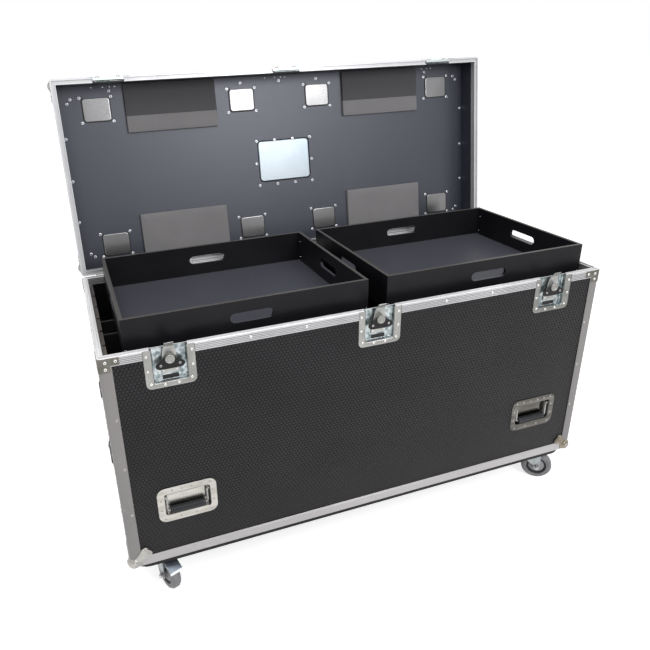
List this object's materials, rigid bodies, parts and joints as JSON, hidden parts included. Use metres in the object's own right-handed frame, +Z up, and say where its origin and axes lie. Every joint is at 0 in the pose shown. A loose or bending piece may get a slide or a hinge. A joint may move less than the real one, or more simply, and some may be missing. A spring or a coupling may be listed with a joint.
{
  "type": "road case",
  "caption": "Long flight case on swivel casters: hinged lid, lift-out trays, twist latches, spring handles and slotted dividers.",
  "frame": {"origin": "middle of the bounding box's underside, on the floor under the wheels, with the lid open at rest", "axes": "+X to the case's right seen from the front, +Y from the front to the back, +Z up"},
  "size_m": [1.534, 0.8062, 1.421],
  "materials": {
    "laminate": "plywood faced with black embossed laminate",
    "board": "black painted plywood",
    "aluminium": "satin extrusion",
    "zinc": "bright zinc plated pressed steel",
    "plastic": "black",
    "rubber": "black grip sleeve on a steel rod",
    "tyre": "grey non-marking rubber",
    "foam": "grey closed-cell foam"
  },
  "bodies": {
    "case": {"front_panel": "laminate", "back_panel": "laminate", "left_panel": "laminate", "right_panel": "laminate", "base_board": "board", "body_frame": "aluminium", "liner_left": "board", "liner_right": "board", "divider_front": "board", "divider_rear": "board", "latch_dish_left": "zinc", "latch_dish_middle": "zinc", "latch_dish_right": "zinc", "handle_dish_front_left": "zinc", "handle_dish_front_right": "zinc", "handle_dish_left_front": "zinc", "handle_dish_left_rear": "zinc", "handle_dish_right_front": "zinc", "handle_dish_right_rear": "zinc", "hinge_leaf_body": "aluminium", "caster_plate_left_front": "zinc", "caster_plate_left_rear": "zinc", "caster_plate_right_front": "zinc", "caster_plate_right_rear": "zinc"},
    "lid": {"lid_panel": "laminate", "lid_walls": "laminate", "lid_frame": "aluminium", "label_dish": "zinc", "keeper_left": "zinc", "keeper_middle": "zinc", "keeper_right": "zinc", "foam_pad_lower_left": "foam", "foam_pad_lower_right": "foam", "foam_pad_upper_left": "foam", "foam_pad_upper_right": "foam", "hinge_leaf_lid": "aluminium"},
    "tray_left": {"tray_left": "board"},
    "tray_right": {"tray_right": "board"},
    "wing_left": {"wing_left": "plastic"},
    "hook_left": {"hook_left": "zinc"},
    "wing_middle": {"wing_middle": "plastic"},
    "hook_middle": {"hook_middle": "zinc"},
    "wing_right": {"wing_right": "plastic"},
    "hook_right": {"hook_right": "zinc"},
    "bail_front_left": {"bail_front_left": "rubber"},
    "bail_front_right": {"bail_front_right": "rubber"},
    "bail_left_front": {"bail_left_front": "rubber"},
    "bail_left_rear": {"bail_left_rear": "rubber"},
    "bail_right_front": {"bail_right_front": "rubber"},
    "bail_right_rear": {"bail_right_rear": "rubber"},
    "fork_left_front": {"fork_left_front": "zinc"},
    "wheel_left_front": {"wheel_left_front": "tyre"},
    "fork_left_rear": {"fork_left_rear": "zinc"},
    "wheel_left_rear": {"wheel_left_rear": "tyre"},
    "fork_right_front": {"fork_right_front": "zinc"},
    "wheel_right_front": {"wheel_right_front": "tyre"},
    "fork_right_rear": {"fork_right_rear": "zinc"},
    "wheel_right_rear": {"wheel_right_rear": "tyre"},
    "pedal_left_front": {"pedal_left_front": "zinc"},
    "pedal_left_rear": {"pedal_left_rear": "zinc"}
  },
  "joints": [
    {"name": "lid_hinge", "type": "hinge", "parent": "case", "child": "lid", "pos_m": [0, 0.21446, 0.8151], "axis": [-1, 0, 0], "range_deg": [-98.4, 0]},
    {"name": "tray_lift_left", "type": "slide", "parent": "case", "child": "tray_left", "axis": [0, 0, 1], "range_m": [0, 0.25]},
    {"name": "tray_lift_right", "type": "slide", "parent": "case", "child": "tray_right", "axis": [0, 0, 1], "range_m": [0, 0.25]},
    {"name": "hook_slide_left", "type": "slide", "parent": "case", "child": "hook_left", "axis": [0, 0, -1], "range_m": [0, 0.006]},
    {"name": "wing_turn_left", "type": "hinge", "parent": "case", "child": "wing_left", "pos_m": [-0.5878, -0.39815, 0.7851], "axis": [0, -1, 0], "range_deg": [0, 180]},
    {"name": "hook_slide_middle", "type": "slide", "parent": "case", "child": "hook_middle", "axis": [0, 0, -1], "range_m": [0, 0.006]},
    {"name": "wing_turn_middle", "type": "hinge", "parent": "case", "child": "wing_middle", "pos_m": [0, -0.39815, 0.7851], "axis": [0, -1, 0], "range_deg": [0, 180]},
    {"name": "hook_slide_right", "type": "slide", "parent": "case", "child": "hook_right", "axis": [0, 0, -1], "range_m": [0, 0.006]},
    {"name": "wing_turn_right", "type": "hinge", "parent": "case", "child": "wing_right", "pos_m": [0.5878, -0.39815, 0.7851], "axis": [0, -1, 0], "range_deg": [0, 180]},
    {"name": "bail_swing_front_left", "type": "hinge", "parent": "case", "child": "bail_front_left", "pos_m": [-0.582, -0.39065, 0.3573], "axis": [-1, 0, 0], "range_deg": [0, 90], "stiffness_Nm_per_rad": 0.3, "springref_deg": -17.19},
    {"name": "bail_swing_front_right", "type": "hinge", "parent": "case", "child": "bail_front_right", "pos_m": [0.582, -0.39065, 0.3573], "axis": [-1, 0, 0], "range_deg": [0, 90], "stiffness_Nm_per_rad": 0.3, "springref_deg": -17.19},
    {"name": "bail_swing_left_front", "type": "hinge", "parent": "case", "child": "bail_left_front", "pos_m": [-0.7545, -0.27335, 0.5073], "axis": [0, 1, 0], "range_deg": [0, 90], "stiffness_Nm_per_rad": 0.3, "springref_deg": -17.19},
    {"name": "bail_swing_left_rear", "type": "hinge", "parent": "case", "child": "bail_left_rear", "pos_m": [-0.7545, 0.08665, 0.5073], "axis": [0, 1, 0], "range_deg": [0, 90], "stiffness_Nm_per_rad": 0.3, "springref_deg": -17.19},
    {"name": "bail_swing_right_front", "type": "hinge", "parent": "case", "child": "bail_right_front", "pos_m": [0.7545, -0.27335, 0.5073], "axis": [0, -1, 0], "range_deg": [0, 90], "stiffness_Nm_per_rad": 0.3, "springref_deg": -17.19},
    {"name": "bail_swing_right_rear", "type": "hinge", "parent": "case", "child": "bail_right_rear", "pos_m": [0.7545, 0.08665, 0.5073], "axis": [0, -1, 0], "range_deg": [0, 90], "stiffness_Nm_per_rad": 0.3, "springref_deg": -17.19},
    {"name": "swivel_turn_left_front", "type": "hinge", "parent": "case", "child": "fork_left_front", "pos_m": [-0.6673, -0.31194, 0.11], "axis": [0, 0, 1], "continuous": true},
    {"name": "wheel_spin_left_front", "type": "hinge", "parent": "fork_left_front", "child": "wheel_left_front", "pos_m": [-0.65474, -0.34802, 0.0508], "axis": [0.9444, 0.3289, 0], "continuous": true},
    {"name": "swivel_turn_left_rear", "type": "hinge", "parent": "case", "child": "fork_left_rear", "pos_m": [-0.6673, 0.12526, 0.11], "axis": [0, 0, 1], "continuous": true},
    {"name": "wheel_spin_left_rear", "type": "hinge", "parent": "fork_left_rear", "child": "wheel_left_rear", "pos_m": [-0.65474, 0.08918, 0.0508], "axis": [0.9444, 0.3289, 0], "continuous": true},
    {"name": "swivel_turn_right_front", "type": "hinge", "parent": "case", "child": "fork_right_front", "pos_m": [0.6673, -0.31194, 0.11], "axis": [0, 0, 1], "continuous": true},
    {"name": "wheel_spin_right_front", "type": "hinge", "parent": "fork_right_front", "child": "wheel_right_front", "pos_m": [0.69707, -0.33588, 0.0508], "axis": [0.6266, 0.7793, 0], "continuous": true},
    {"name": "swivel_turn_right_rear", "type": "hinge", "parent": "case", "child": "fork_right_rear", "pos_m": [0.6673, 0.12526, 0.11], "axis": [0, 0, 1], "continuous": true},
    {"name": "wheel_spin_right_rear", "type": "hinge", "parent": "fork_right_rear", "child": "wheel_right_rear", "pos_m": [0.69707, 0.10132, 0.0508], "axis": [0.6266, 0.7793, 0], "continuous": true},
    {"name": "pedal_press_left_front", "type": "hinge", "parent": "fork_left_front", "child": "pedal_left_front", "pos_m": [-0.65283, -0.3535, 0.1085], "axis": [0.9444, 0.3289, 0], "range_deg": [0, 6]},
    {"name": "pedal_press_left_rear", "type": "hinge", "parent": "fork_left_rear", "child": "pedal_left_rear", "pos_m": [-0.65283, 0.0837, 0.1085], "axis": [0.9444, 0.3289, 0], "range_deg": [0, 6]}
  ],
  "couplings": [
    {"joint": "wing_turn_left", "follows": "hook_slide_left", "rad_per_m": 523.5},
    {"joint": "wing_turn_middle", "follows": "hook_slide_middle", "rad_per_m": 523.5},
    {"joint": "wing_turn_right", "follows": "hook_slide_right", "rad_per_m": 523.5}
  ]
}
